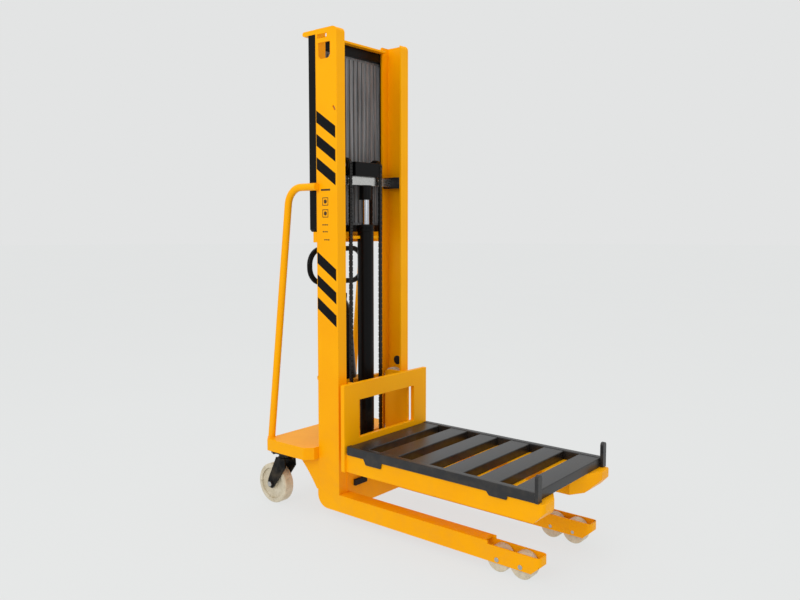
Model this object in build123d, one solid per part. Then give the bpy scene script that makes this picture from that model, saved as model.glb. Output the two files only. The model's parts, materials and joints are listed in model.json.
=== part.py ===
from build123d import *
import os

# Walkie stacker with a slatted platform on its forks.
# Millimetres. +X runs forward along the forks, +Y is the operator's left, +Z is up.
# Everything is drawn with the rear face of the mast at X = 0; save() moves each
# finished sub-part by MAST_X so that the origin lies under the middle of the machine.

os.makedirs("parts", exist_ok=True)

# ---------------------------------------------------------------- driving sizes
MAST_HEIGHT = 2080.0
MAST_WIDTH = 470.0
CHANNEL_DEPTH = 122.0
FLANGE_WIDTH = 50.0
CROWN_R = 24.0
FLANGE_THK = 10.0
WEB_THK = 8.0

LEG_WIDTH = 65.0
LEG_BOTTOM = 35.0
LEG_TOP = 109.0
LEG_REAR = -6.0
LEG_TIP = 1088.0
LEG_WALL = 6.0

LOAD_ROLLER_R = 48.0
LOAD_PIN_R = 7.0

BASE_HALF_WIDTH = 296.0
BASE_HEIGHT = 54.0
BASE_WALL = 6.0

CASTER_TRAIL = 67.0
CASTER_WHEEL_R = 90.0
CASTER_WHEEL_WIDTH = 50.0
CASTER_AXLE_R = 8.0
KINGPIN_R = 10.0
MOUNT_THK = 6.0

CARRIAGE_HALF_WIDTH = 280.0
CARRIAGE_GAP = 55.0
CARRIAGE_THK = 20.0
CARRIAGE_TOP = 601.0
WINDOW_HALF_WIDTH = 187.0
WINDOW_BOTTOM = 366.0
WINDOW_TOP = 527.0

FORK_OUTER = 268.0
FORK_WIDTH = 200.0
FORK_BOTTOM = 235.0
FORK_DEPTH = 74.0
FORK_TIP = 1120.0
FORK_WALL = 6.0

RAIL_WIDTH = 28.0
RAIL_HEIGHT = 38.0
SLAT_COUNT = 6
SLAT_WIDTH = 90.0
SHEET_THK = 4.0
POST_THK = 14.0
POST_HEIGHT = 61.0

BARREL_R = 36.0
BARREL_WALL = 8.0
ROD_R = 17.5
CAP_R = 28.0
STROKE = 440.0

REAR_CHAIN_X = 14.0
CHAIN_R = 28.0
CHAIN_THK = 12.0
CHAIN_WIDTH = 18.0
PULLEY_BORE_R = 10.0

GUIDE_ROLLER_Z = (300.0, 545.0)
STUB_R = 12.0

SCREEN_DEPTH = 42.0
SCREEN_BAR = 30.0
SCREEN_TOP_BAR = 50.0

HANDLE_R = 16.0
BOW_R = 12.0
BOW_HALF = 173.0
RESERVOIR_R = 88.0
HOSE_R = 9.0

RUN_GAP = 0.05
SIDE_GAP = 2.5
ROLL_GAP = 1.5

# ---------------------------------------------------------------- derived sizes
HALF = MAST_WIDTH / 2
FLANGE_EDGE = HALF - FLANGE_WIDTH
WEB_IN = HALF - WEB_THK
CHANNEL_MID = CHANNEL_DEPTH / 2
FLANGE_IN = CHANNEL_DEPTH - FLANGE_THK
PULLEY_Y = FLANGE_EDGE - 87.0

LEG_IN = HALF - LEG_WIDTH
LOAD_ROLLER_WIDTH = LEG_WIDTH - 2 * LEG_WALL - 2 * SIDE_GAP
FRONT_ROLLER_X = LEG_TIP - LEG_WALL - 23.0 - LOAD_ROLLER_R
REAR_ROLLER_X = FRONT_ROLLER_X - 2 * LOAD_ROLLER_R - 2.0

CASTER_X = -(CASTER_TRAIL + CASTER_WHEEL_R + 38.0)
CASTER_Y = BASE_HALF_WIDTH - 46.0
WHEEL_X = CASTER_X - CASTER_TRAIL
YOKE_TOP = 2 * CASTER_WHEEL_R + 41.0
YOKE_IN = CASTER_WHEEL_WIDTH / 2 + 3.0
YOKE_OUT = YOKE_IN + 6.0
RACE_BOTTOM = YOKE_TOP + 1.0
BASE_BOTTOM = YOKE_TOP + 19.0 + MOUNT_THK
BASE_TOP = BASE_BOTTOM + BASE_HEIGHT
BASE_REAR = CASTER_X - 82.0

CARRIAGE_REAR = CHANNEL_DEPTH + CARRIAGE_GAP
CARRIAGE_FRONT = CARRIAGE_REAR + CARRIAGE_THK
GUIDE_ROLLER_R = CHANNEL_MID - FLANGE_THK - ROLL_GAP
FORK_INNER = FORK_OUTER - FORK_WIDTH
FORK_TOP = FORK_BOTTOM + FORK_DEPTH
PLATFORM_REAR = CARRIAGE_FRONT + 10.0
PLATFORM_FRONT = FORK_TIP - 34.0
PLATFORM_OUTER = FORK_OUTER + 6.0
PLATFORM_TOP = FORK_TOP + RAIL_HEIGHT
RAIL_INNER = PLATFORM_OUTER - RAIL_WIDTH

CYLINDER_X = FLANGE_IN - BARREL_R - 8.0
PULLEY_X = REAR_CHAIN_X + CHAIN_R
GUIDE_BAR_FRONT = PULLEY_X + CHAIN_R - CHAIN_THK / 2 - 5.0
BARREL_BORE_R = BARREL_R - BARREL_WALL
TOP_BEAM_Z = MAST_HEIGHT - 30.0
SCREEN_TOP = MAST_HEIGHT - 20.0
PULLEY_Z = MAST_HEIGHT - 116.0 - STROKE
GUIDE_BAR_TOP = PULLEY_Z - CHAIN_R - 18.0
GUIDE_BAR_BOTTOM = GUIDE_BAR_TOP - 38.0
ROD_TOP = GUIDE_BAR_BOTTOM - 64.0
BARREL_TOP = ROD_TOP - 114.0
BRACKET_Z = BARREL_TOP - 57.0
ANCHOR_TOP = BRACKET_Z + 37.0
MID_BEAM_BOTTOM = BRACKET_Z - 15.0
MID_BEAM_TOP = MID_BEAM_BOTTOM + 45.0

MAST_X = -(FORK_TIP + WHEEL_X - CASTER_WHEEL_R) / 2


# ---------------------------------------------------------------- small helpers
def block(x0, x1, y0, y1, z0, z1):
    middle = Pos((x0 + x1) / 2, (y0 + y1) / 2, (z0 + z1) / 2)
    return middle * Box(x1 - x0, y1 - y0, z1 - z0)


def rod_y(radius, x, z, y0, y1):
    return Pos(x, (y0 + y1) / 2, z) * Rot(90, 0, 0) * Cylinder(radius, abs(y1 - y0))


def rod_z(radius, x, y, z0, z1):
    return Pos(x, y, (z0 + z1) / 2) * Cylinder(radius, z1 - z0)


def hex_z(across, x, y, z0, z1):
    sketch = Plane.XY.offset(z0) * Pos(x, y) * RegularPolygon(across / 2, 6, major_radius=False)
    return extrude(sketch, amount=z1 - z0)


def hex_y(across, x, z, y0, y1):
    flat = RegularPolygon(across / 2, 6, major_radius=False)
    nut = extrude(Plane.XZ * flat, amount=-(y1 - y0))
    return Pos(x, y0, z) * nut


def plate_xz(points, y0, y1):
    face = Plane.XZ * make_face(Polyline(*points, close=True))
    return Pos(0, y0, 0) * extrude(face, amount=-(y1 - y0))


def plate_xy(points, z0, z1):
    face = make_face(Polyline(*points, close=True))
    return Pos(0, 0, z0) * extrude(face, amount=z1 - z0)


def plate_yz(points, x0, x1):
    face = Plane.YZ * make_face(Polyline(*points, close=True))
    return Pos(x0, 0, 0) * extrude(face, amount=x1 - x0)


def other_side(shape):
    return mirror(shape, about=Plane.XZ)


def edges_along(shape, axis, test):
    return [e for e in shape.edges().filter_by(axis) if test(e.center())]


def save(name, *solids):
    moved = [Pos(MAST_X, 0, 0) * s for s in solids]
    whole = moved[0] if len(moved) == 1 else Compound(children=moved)
    export_step(whole, "parts/" + name + ".step")


# ---------------------------------------------------------------- mast uprights
def upright():
    web = block(0, CHANNEL_DEPTH, -HALF, -WEB_IN, LEG_TOP, MAST_HEIGHT)
    rear = block(0, FLANGE_THK, -HALF, -FLANGE_EDGE, LEG_TOP, MAST_HEIGHT)
    front = block(FLANGE_IN, CHANNEL_DEPTH, -HALF, -FLANGE_EDGE, LEG_TOP, MAST_HEIGHT)
    body = web + rear + front
    corner_x = CHANNEL_DEPTH - CROWN_R
    corner_z = MAST_HEIGHT - CROWN_R
    corner = block(corner_x, CHANNEL_DEPTH + 1, -HALF - 1, -FLANGE_EDGE + 1, corner_z, MAST_HEIGHT + 1)
    return body - (corner - rod_y(CROWN_R, corner_x, corner_z, -HALF - 2, -FLANGE_EDGE + 2))


def through_web(x0, x1, z0, z1):
    return block(x0, x1, -HALF - 1, -WEB_IN + 1, z0, z1)


window = through_web(15, CHANNEL_DEPTH - 37, MAST_HEIGHT - 125, MAST_HEIGHT - 58)
window = fillet(edges_along(window, Axis.Y, lambda c: c.Z < MAST_HEIGHT - 100), 18)
recess = through_web(FLANGE_THK, CHANNEL_DEPTH - 56, MAST_HEIGHT - 40, MAST_HEIGHT - 22)
slot = Pos(CHANNEL_DEPTH - 16, -HALF, MAST_HEIGHT - 332) * Rot(0, -30, 0) * Box(8, 30, 24)
peep_hole = rod_y(17, CHANNEL_MID + 4, 627, WEB_IN - 2, HALF + 2)
save("mast_upright_right", upright() - window - recess - slot)
save("mast_upright_left", other_side(upright()) - peep_hole)

# ---------------------------------------------------------------- mast cross members
save("mast_top_beam", block(0, 30, -FLANGE_EDGE, FLANGE_EDGE, TOP_BEAM_Z, TOP_BEAM_Z + 10))

mid_beam = block(-30, 0, -HALF, HALF, MID_BEAM_BOTTOM, MID_BEAM_TOP)
mid_beam = fillet(edges_along(mid_beam, Axis.Z, lambda c: c.X < -29), 14)
save("mast_mid_beam", mid_beam)

# The front plate closes the mast's foot: down to the legs' underside between the legs,
# and as wide as the gap between the flanges above them.
SEAT_TOP = 180.0
PLATE_TOP = 230.0
front_plate = block(FLANGE_IN, CHANNEL_DEPTH, -LEG_IN, LEG_IN, LEG_BOTTOM, LEG_TOP)
front_plate += block(FLANGE_IN, CHANNEL_DEPTH, -FLANGE_EDGE, FLANGE_EDGE, LEG_TOP, PLATE_TOP)
seat = block(0, FLANGE_IN, -FLANGE_EDGE, FLANGE_EDGE, SEAT_TOP - 12, SEAT_TOP)
save("mast_base_beam", front_plate + seat)

pad = block(CHANNEL_DEPTH, CHANNEL_DEPTH + 12, -LEG_IN + 25, -LEG_IN + 105, LEG_TOP + 19, LEG_TOP + 47)
pad = fillet(pad.edges().filter_by(Axis.X), 4)
save("buffer_pads", pad, other_side(pad))

# ---------------------------------------------------------------- guard screen
PANEL_HALF = HALF - SCREEN_BAR
PANEL_BOTTOM = MID_BEAM_TOP + SCREEN_BAR
PANEL_TOP = SCREEN_TOP - SCREEN_TOP_BAR
outer = block(-SCREEN_DEPTH, 0, -HALF, HALF, MID_BEAM_TOP, SCREEN_TOP)
outer = chamfer(edges_along(outer, Axis.X, lambda c: c.Z < MID_BEAM_TOP + 1), 10)
inner = block(-SCREEN_DEPTH - 1, 1, -PANEL_HALF, PANEL_HALF, PANEL_BOTTOM, PANEL_TOP)
save("guard_screen_frame", outer - inner)

RIB_COUNT = 15
RIB_PITCH = 2 * PANEL_HALF / RIB_COUNT
RIB_INSET = 12.0
panel = block(-26, -23, -PANEL_HALF, PANEL_HALF, PANEL_BOTTOM, PANEL_TOP)
for i in range(RIB_COUNT):
    rib_y = -PANEL_HALF + (i + 0.5) * RIB_PITCH
    panel += block(-23, -16, rib_y - 5, rib_y + 5, PANEL_BOTTOM + RIB_INSET, PANEL_TOP - RIB_INSET)
save("guard_screen_panel", panel)

arm = block(-78, 0, -HALF, -HALF + SCREEN_BAR, SCREEN_TOP, MAST_HEIGHT)
arm = fillet(edges_along(arm, Axis.Y, lambda c: c.X < -77), 9)
save("screen_arms", arm, other_side(arm))

# ---------------------------------------------------------------- base box and gussets
NOTCH = 33.0
plan = [
    (BASE_REAR, -BASE_HALF_WIDTH),
    (-NOTCH, -BASE_HALF_WIDTH),
    (0, -BASE_HALF_WIDTH + NOTCH),
    (0, BASE_HALF_WIDTH - NOTCH),
    (-NOTCH, BASE_HALF_WIDTH),
    (BASE_REAR, BASE_HALF_WIDTH),
]
box = plate_xy(plan, BASE_BOTTOM, BASE_TOP)
box = fillet(edges_along(box, Axis.Z, lambda c: c.X < BASE_REAR + 1), 14)
hollow = block(
    BASE_REAR + BASE_WALL, -BASE_WALL,
    -BASE_HALF_WIDTH + NOTCH + BASE_WALL, BASE_HALF_WIDTH - NOTCH - BASE_WALL,
    BASE_BOTTOM + BASE_WALL, BASE_TOP - BASE_WALL,
)
save("base_box", box - hollow)

# The gusset's curved rear edge is one arc from the base down to the mast's heel.
GUSSET_REAR = CASTER_X + 57
GUSSET_TOE = -14.0
rear_edge = ThreePointArc(
    (GUSSET_REAR, BASE_BOTTOM),
    ((GUSSET_REAR + GUSSET_TOE) / 2 + 6, (BASE_BOTTOM + LEG_TOP) / 2 + 3),
    (GUSSET_TOE, LEG_TOP),
)
straight = Polyline((GUSSET_TOE, LEG_TOP), (0, LEG_TOP), (0, BASE_BOTTOM), (GUSSET_REAR, BASE_BOTTOM))
gusset = Pos(0, -HALF, 0) * extrude(Plane.XZ * make_face(rear_edge + straight), amount=-WEB_THK)
save("base_gussets", gusset, other_side(gusset))

# ---------------------------------------------------------------- straddle legs and load rollers
POCKET_REAR = REAR_ROLLER_X - LOAD_ROLLER_R - 5
POCKET_RIM = LEG_TOP - LEG_WALL - 6
TUNNEL_Y = (-HALF + LEG_WALL, -LEG_IN - LEG_WALL)


def leg():
    body = block(LEG_REAR, LEG_TIP, -HALF, -LEG_IN, LEG_BOTTOM, LEG_TOP)
    heel = edges_along(body, Axis.Y, lambda c: c.X < LEG_REAR + 1 and c.Z < LEG_BOTTOM + 1)
    body = fillet(heel, 55)
    nose_sides = edges_along(body, Axis.Z, lambda c: c.X > LEG_TIP - 1)
    body = fillet(nose_sides, 20)
    body -= block(POCKET_REAR + 12, LEG_TIP + 1, -HALF - 1, -LEG_IN + 1, POCKET_RIM, LEG_TOP + 1)
    body -= block(62, LEG_TIP - LEG_WALL, *TUNNEL_Y, LEG_BOTTOM - 1, LEG_TOP - LEG_WALL)
    body -= block(POCKET_REAR, LEG_TIP - LEG_WALL, *TUNNEL_Y, LEG_TOP - LEG_WALL - 1, LEG_TOP + 1)
    undercut = [(LEG_TIP - 34, LEG_BOTTOM), (LEG_TIP, LEG_BOTTOM + 30), (LEG_TIP + 1, LEG_BOTTOM - 1)]
    body -= plate_xz(undercut, -HALF - 1, -LEG_IN + 1)
    for x in (REAR_ROLLER_X, FRONT_ROLLER_X):
        body -= rod_y(LOAD_PIN_R, x, LOAD_ROLLER_R, -HALF - 1, -LEG_IN + 1)
    return body


leg_right = leg()
save("leg_right", leg_right)
save("leg_left", other_side(leg_right))

ROLLER_MID = HALF - LEG_WIDTH / 2
pins = []
for x in (REAR_ROLLER_X, FRONT_ROLLER_X):
    pin = rod_y(LOAD_PIN_R, x, LOAD_ROLLER_R, -HALF, -LEG_IN)
    pin += rod_y(LOAD_PIN_R + 2, x, LOAD_ROLLER_R, -HALF - 2, -HALF)
    pins += [pin, other_side(pin)]
save("load_roller_pins", *pins)

for x, place in ((REAR_ROLLER_X, "rear"), (FRONT_ROLLER_X, "front")):
    roller = rod_y(
        LOAD_ROLLER_R, x, LOAD_ROLLER_R,
        -ROLLER_MID - LOAD_ROLLER_WIDTH / 2, -ROLLER_MID + LOAD_ROLLER_WIDTH / 2,
    )
    roller = chamfer(roller.edges().filter_by(GeomType.CIRCLE), 3)
    roller -= rod_y(LOAD_PIN_R + RUN_GAP, x, LOAD_ROLLER_R, -HALF, -LEG_IN)
    save("load_roller_right_" + place, roller)
    save("load_roller_left_" + place, other_side(roller))

# ---------------------------------------------------------------- rear casters
PLATE_BOTTOM = BASE_BOTTOM - MOUNT_THK


def caster_plate():
    plate = block(CASTER_X - 50, CASTER_X + 50, -CASTER_Y - 44, -CASTER_Y + 44, PLATE_BOTTOM, BASE_BOTTOM)
    race = rod_z(32, CASTER_X, -CASTER_Y, RACE_BOTTOM, PLATE_BOTTOM)
    kingpin = rod_z(KINGPIN_R, CASTER_X, -CASTER_Y, YOKE_TOP - 12, RACE_BOTTOM)
    nut = hex_z(2.6 * KINGPIN_R, CASTER_X, -CASTER_Y, YOKE_TOP - 24, YOKE_TOP - 12)
    return plate + race + kingpin + nut


def caster_yoke():
    crown = rod_z(36, CASTER_X, -CASTER_Y, YOKE_TOP - 11, YOKE_TOP)
    side = [
        (CASTER_X - 30, YOKE_TOP),
        (CASTER_X + 26, YOKE_TOP),
        (CASTER_X + 30, YOKE_TOP - 40),
        (WHEEL_X + 22, CASTER_WHEEL_R - 8),
        (WHEEL_X + 8, CASTER_WHEEL_R - 20),
        (WHEEL_X - 12, CASTER_WHEEL_R - 18),
        (WHEEL_X - 22, CASTER_WHEEL_R - 2),
        (WHEEL_X - 16, CASTER_WHEEL_R + 22),
    ]
    arm_right = plate_xz(side, -CASTER_Y - YOKE_OUT, -CASTER_Y - YOKE_IN)
    arm_left = plate_xz(side, -CASTER_Y + YOKE_IN, -CASTER_Y + YOKE_OUT)
    body = crown + arm_right + arm_left
    body -= rod_z(KINGPIN_R + RUN_GAP, CASTER_X, -CASTER_Y, YOKE_TOP - 12, YOKE_TOP + 1)
    bolt = rod_y(CASTER_AXLE_R, WHEEL_X, CASTER_WHEEL_R, -CASTER_Y - YOKE_OUT, -CASTER_Y + YOKE_OUT)
    body -= bolt
    across = 2.75 * CASTER_AXLE_R
    head = hex_y(across, WHEEL_X, CASTER_WHEEL_R, -CASTER_Y - YOKE_OUT - 9, -CASTER_Y - YOKE_OUT)
    nut = hex_y(across, WHEEL_X, CASTER_WHEEL_R, -CASTER_Y + YOKE_OUT, -CASTER_Y + YOKE_OUT + 9)
    return body, bolt + head + nut


def caster_wheel():
    half = CASTER_WHEEL_WIDTH / 2
    wheel = rod_y(CASTER_WHEEL_R, WHEEL_X, CASTER_WHEEL_R, -CASTER_Y - half, -CASTER_Y + half)
    wheel = fillet(wheel.edges().filter_by(GeomType.CIRCLE), 7)
    for side in (-1, 1):
        face = -CASTER_Y + side * half
        dish = rod_y(CASTER_WHEEL_R - 20, WHEEL_X, CASTER_WHEEL_R, face - side * 8, face + side)
        hub = rod_y(3 * CASTER_AXLE_R, WHEEL_X, CASTER_WHEEL_R, face - side * 9, face + side * 2)
        wheel -= dish - hub
    bore_r = CASTER_AXLE_R + RUN_GAP
    return wheel - rod_y(bore_r, WHEEL_X, CASTER_WHEEL_R, -CASTER_Y - half - 1, -CASTER_Y + half + 1)


plate_right = caster_plate()
bolts = []
for dx in (-40, 40):
    for dy in (-35, 35):
        bolt = hex_z(13, CASTER_X + dx, -CASTER_Y + dy, PLATE_BOTTOM - 6, PLATE_BOTTOM)
        bolts += [bolt, other_side(bolt)]
save("caster_mounts", plate_right, other_side(plate_right), *bolts)
yoke_right, axle_right = caster_yoke()
save("caster_yoke_right", yoke_right)
save("caster_yoke_left", other_side(yoke_right))
save("caster_axle_right", axle_right)
save("caster_axle_left", other_side(axle_right))
wheel_right = caster_wheel()
save("caster_wheel_right", wheel_right)
save("caster_wheel_left", other_side(wheel_right))

# ---------------------------------------------------------------- push handles
HANDLE_TOP = MID_BEAM_TOP + 191.0


def push_handle():
    foot = Vector(BASE_REAR + 1, -BASE_HALF_WIDTH + 33, BASE_TOP - 6)
    knee = Vector(-152, -HALF - HANDLE_R + 1, HANDLE_TOP)
    end = Vector(16, -HALF - HANDLE_R + 1, HANDLE_TOP)
    path = FilletPolyline(foot, knee, end, radius=80)
    start = Plane(origin=path @ 0, z_dir=path % 0)
    tube = sweep(start * Circle(HANDLE_R), path=path)
    tube -= block(BASE_REAR - 99, 0, -BASE_HALF_WIDTH - 99, 0, BASE_TOP - 99, BASE_TOP)
    return tube - block(-60, 60, -HALF, 0, HANDLE_TOP - 40, HANDLE_TOP + 40)


handle_right = push_handle()
save("push_handle_right", handle_right)
save("push_handle_left", other_side(handle_right))

# ---------------------------------------------------------------- hand pump
PUMP_X = -110.0
SHELF_BOTTOM = 550.0
SHELF_TOP = 562.0
RESERVOIR_TOP = 930.0
RESERVOIR_WALL = 5.0
PIVOT_Z = RESERVOIR_TOP + 45.0
PIVOT_R = 8.0

shelf_bar = block(-20, 0, -HALF + 35, HALF - 35, SHELF_BOTTOM - 10, SHELF_TOP)
shelf = block(PUMP_X, 0, -95, 95, SHELF_BOTTOM, SHELF_TOP) + rod_z(95, PUMP_X, 0, SHELF_BOTTOM, SHELF_TOP)
shelf = shelf + shelf_bar - rod_z(10, PUMP_X, 0, SHELF_BOTTOM - 1, SHELF_TOP + 1)
save("pump_shelf", shelf)



def reservoir_body(inset):
    """A turned tank: wide at the foot, narrowing to a rounded shoulder and a flat neck."""
    foot = RESERVOIR_R - inset
    shoulder = RESERVOIR_R - 22 - inset
    top = RESERVOIR_TOP - inset
    low = SHELF_TOP + inset
    sketch = make_face(
        Polyline((0, top), (0, low), (foot, low), (shoulder, top - 70))
        + ThreePointArc((shoulder, top - 70), (shoulder - 9, top - 35), (45 - inset, top - 12))
        + Polyline((45 - inset, top - 12), (45 - inset, top), (0, top))
    )
    return Pos(PUMP_X, 0, 0) * revolve(Plane.XZ * sketch, Axis.Z)


save("pump_reservoir", reservoir_body(0) - reservoir_body(RESERVOIR_WALL))

head = block(PUMP_X - 32, PUMP_X + 32, -34, 34, RESERVOIR_TOP, RESERVOIR_TOP + 22)
for side in (-1, 1):
    y0, y1 = sorted((side * 15, side * 27))
    ear = block(PUMP_X - 14, PUMP_X + 14, y0, y1, RESERVOIR_TOP + 22, PIVOT_Z)
    head += ear + rod_y(14, PUMP_X, PIVOT_Z, y0, y1)
pivot_pin = rod_y(PIVOT_R, PUMP_X, PIVOT_Z, -31, 31)
head -= rod_y(PIVOT_R, PUMP_X, PIVOT_Z, -28, 28)
save("pump_head", head, pivot_pin)

BOW_LOW = PIVOT_Z + 31.0
BOW_HIGH = BOW_LOW + 151.0
bow_sketch = Pos(0, (BOW_LOW + BOW_HIGH) / 2) * RectangleRounded(2 * BOW_HALF, BOW_HIGH - BOW_LOW, 70)
bow_path = (Plane.YZ.offset(PUMP_X) * bow_sketch).face().outer_wire()
bow_start = Plane(origin=bow_path @ 0, z_dir=bow_path % 0)
bow = sweep(bow_start * Circle(BOW_R), path=bow_path, transition=Transition.RIGHT)
stem = block(PUMP_X - 11, PUMP_X + 11, -14, 14, PIVOT_Z, BOW_LOW) + rod_y(13, PUMP_X, PIVOT_Z, -14, 14)
stem -= rod_y(PIVOT_R + RUN_GAP, PUMP_X, PIVOT_Z, -15, 15)
save("pump_handle", bow + stem)

HOSE_Z = 400.0
hose_path = FilletPolyline(
    (CYLINDER_X - BARREL_R, 0, HOSE_Z), (PUMP_X, 0, HOSE_Z), (PUMP_X, 0, SHELF_TOP), radius=90
)
hose_start = Plane(origin=hose_path @ 0, z_dir=hose_path % 0)
hose = sweep(hose_start * Circle(HOSE_R), path=hose_path)
hose -= rod_z(BARREL_R, CYLINDER_X, 0, HOSE_Z - 100, HOSE_Z + 100)
save("hydraulic_hose", hose)

# ---------------------------------------------------------------- lift cylinder
barrel = rod_z(BARREL_R, CYLINDER_X, 0, SEAT_TOP, BARREL_TOP)
barrel -= rod_z(BARREL_BORE_R, CYLINDER_X, 0, SEAT_TOP + 12, BARREL_TOP - 20)
barrel -= rod_z(ROD_R + RUN_GAP, CYLINDER_X, 0, BARREL_TOP - 21, BARREL_TOP + 1)
save("cylinder_barrel", barrel)

PISTON_BOTTOM = BARREL_TOP - 20 - STROKE - 92
rod = rod_z(ROD_R, CYLINDER_X, 0, PISTON_BOTTOM, ROD_TOP)
rod += rod_z(BARREL_BORE_R - RUN_GAP, CYLINDER_X, 0, PISTON_BOTTOM, PISTON_BOTTOM + 40)
save("piston_rod", rod)

# ---------------------------------------------------------------- crosshead
save("piston_cap", rod_z(CAP_R, CYLINDER_X, 0, ROD_TOP, GUIDE_BAR_BOTTOM))
guide_bar = block(
    GUIDE_BAR_FRONT - 16, GUIDE_BAR_FRONT,
    -FLANGE_EDGE - 2, FLANGE_EDGE + 2,
    GUIDE_BAR_BOTTOM, GUIDE_BAR_TOP,
)
save("crosshead_guide_bar", guide_bar)
CARRIER_HALF = PULLEY_Y - 20.0
carrier = block(PULLEY_X - 20, CYLINDER_X + 14, -CARRIER_HALF, CARRIER_HALF, GUIDE_BAR_TOP, PULLEY_Z + 16)
carrier = fillet(carrier.edges().filter_by(Axis.Y), 4)
carrier -= rod_y(PULLEY_BORE_R, PULLEY_X, PULLEY_Z, -CARRIER_HALF - 1, CARRIER_HALF + 1)
save("crosshead_carrier", carrier)
shoe = block(
    FLANGE_THK + 2, FLANGE_IN - 2,
    -WEB_IN + 4, -FLANGE_EDGE - 2,
    GUIDE_BAR_BOTTOM - 6, GUIDE_BAR_TOP + 6,
)
save("crosshead_shoes", shoe, other_side(shoe))

axle = rod_y(PULLEY_BORE_R, PULLEY_X, PULLEY_Z, -PULLEY_Y - 20, PULLEY_Y + 20)
for side in (-1, 1):
    y0, y1 = sorted((side * (PULLEY_Y + 14), side * (PULLEY_Y + 18)))
    axle += rod_y(15, PULLEY_X, PULLEY_Z, y0, y1)
save("pulley_axle", axle)

GROOVE_OUT = PULLEY_Y + CHAIN_WIDTH / 2 + 0.5
GROOVE_IN = PULLEY_Y - CHAIN_WIDTH / 2 - 0.5
CHEEK = 3.5
pulley = rod_y(CHAIN_R - CHAIN_THK / 2 - 0.5, PULLEY_X, PULLEY_Z, -GROOVE_OUT, -GROOVE_IN)
pulley += rod_y(CHAIN_R + 2, PULLEY_X, PULLEY_Z, -GROOVE_OUT - CHEEK, -GROOVE_OUT)
pulley += rod_y(CHAIN_R + 2, PULLEY_X, PULLEY_Z, -GROOVE_IN, -GROOVE_IN + CHEEK)
pulley -= rod_y(PULLEY_BORE_R + RUN_GAP, PULLEY_X, PULLEY_Z, -PULLEY_Y - 20, -PULLEY_Y + 20)
save("chain_pulley_right", pulley)
save("chain_pulley_left", other_side(pulley))

# ---------------------------------------------------------------- lift chains and anchors
LUG_TOP = WINDOW_BOTTOM - 56.0
STUD_R = 6.0


CHAIN_OUT = PULLEY_Y + CHAIN_WIDTH / 2
CHAIN_IN = PULLEY_Y - CHAIN_WIDTH / 2


def chain_arc():
    ring = rod_y(CHAIN_R + CHAIN_THK / 2, PULLEY_X, PULLEY_Z, -CHAIN_OUT, -CHAIN_IN)
    ring -= rod_y(CHAIN_R - CHAIN_THK / 2, PULLEY_X, PULLEY_Z, -CHAIN_OUT - 1, -CHAIN_IN + 1)
    return ring - block(PULLEY_X - 99, PULLEY_X + 99, -200, 0, PULLEY_Z - 99, PULLEY_Z)


def chain_run(x, z0, z1):
    return block(x - CHAIN_THK / 2, x + CHAIN_THK / 2, -CHAIN_OUT, -CHAIN_IN, z0, z1)


chain_front = chain_arc() + chain_run(PULLEY_X + CHAIN_R, LUG_TOP, PULLEY_Z)
save("chain_front_right", chain_front)
save("chain_front_left", other_side(chain_front))
chain_rear = chain_run(PULLEY_X - CHAIN_R, ANCHOR_TOP, PULLEY_Z)
save("chain_rear_right", chain_rear)
save("chain_rear_left", other_side(chain_rear))

BRACKET_HALF = PULLEY_Y + 40.0
bracket = block(0, REAR_CHAIN_X + 24, -BRACKET_HALF, BRACKET_HALF, BRACKET_Z, BRACKET_Z + 12)
bracket += block(0, CYLINDER_X, -CHAIN_IN + 8, CHAIN_IN - 8, BRACKET_Z, BRACKET_Z + 12)
bracket -= rod_z(BARREL_R, CYLINDER_X, 0, BRACKET_Z - 1, BRACKET_Z + 13)
for side in (-1, 1):
    bracket -= rod_z(STUD_R, PULLEY_X - CHAIN_R, side * PULLEY_Y, BRACKET_Z - 1, BRACKET_Z + 13)
stud = rod_z(STUD_R, PULLEY_X - CHAIN_R, -PULLEY_Y, BRACKET_Z - 18, ANCHOR_TOP)
stud += hex_z(18, PULLEY_X - CHAIN_R, -PULLEY_Y, BRACKET_Z - 10, BRACKET_Z)
stud += hex_z(18, PULLEY_X - CHAIN_R, -PULLEY_Y, BRACKET_Z + 12, BRACKET_Z + 22)
save("chain_anchors", bracket, stud, other_side(stud))

# ---------------------------------------------------------------- lift carriage
frame = block(
    CARRIAGE_REAR, CARRIAGE_FRONT,
    -CARRIAGE_HALF_WIDTH, CARRIAGE_HALF_WIDTH,
    FORK_BOTTOM, CARRIAGE_TOP,
)
frame -= block(
    CARRIAGE_REAR - 1, CARRIAGE_FRONT + 1,
    -WINDOW_HALF_WIDTH, WINDOW_HALF_WIDTH,
    WINDOW_BOTTOM, WINDOW_TOP,
)
save("carriage_frame", frame)

side_plate = block(
    CHANNEL_MID - 21, CARRIAGE_REAR,
    -FLANGE_EDGE + 8, -FLANGE_EDGE + 20,
    FORK_BOTTOM + 10, CARRIAGE_TOP - 11,
)
rear_corners = edges_along(side_plate, Axis.Y, lambda c: c.X < CHANNEL_MID - 20)
side_plate = fillet(rear_corners, 20)
for z in GUIDE_ROLLER_Z:
    side_plate += rod_y(STUB_R, CHANNEL_MID, z, -WEB_IN + 4, -FLANGE_EDGE + 8)
save("carriage_side_plate_right", side_plate)
save("carriage_side_plate_left", other_side(side_plate))

for z, place in zip(GUIDE_ROLLER_Z, ("lower", "upper")):
    guide = rod_y(GUIDE_ROLLER_R, CHANNEL_MID, z, -WEB_IN + 6, -FLANGE_EDGE - 6)
    guide = chamfer(guide.edges().filter_by(GeomType.CIRCLE), 2)
    guide -= rod_y(STUB_R + RUN_GAP, CHANNEL_MID, z, -WEB_IN, -FLANGE_EDGE)
    save("guide_roller_right_" + place, guide)
    save("guide_roller_left_" + place, other_side(guide))

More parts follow.
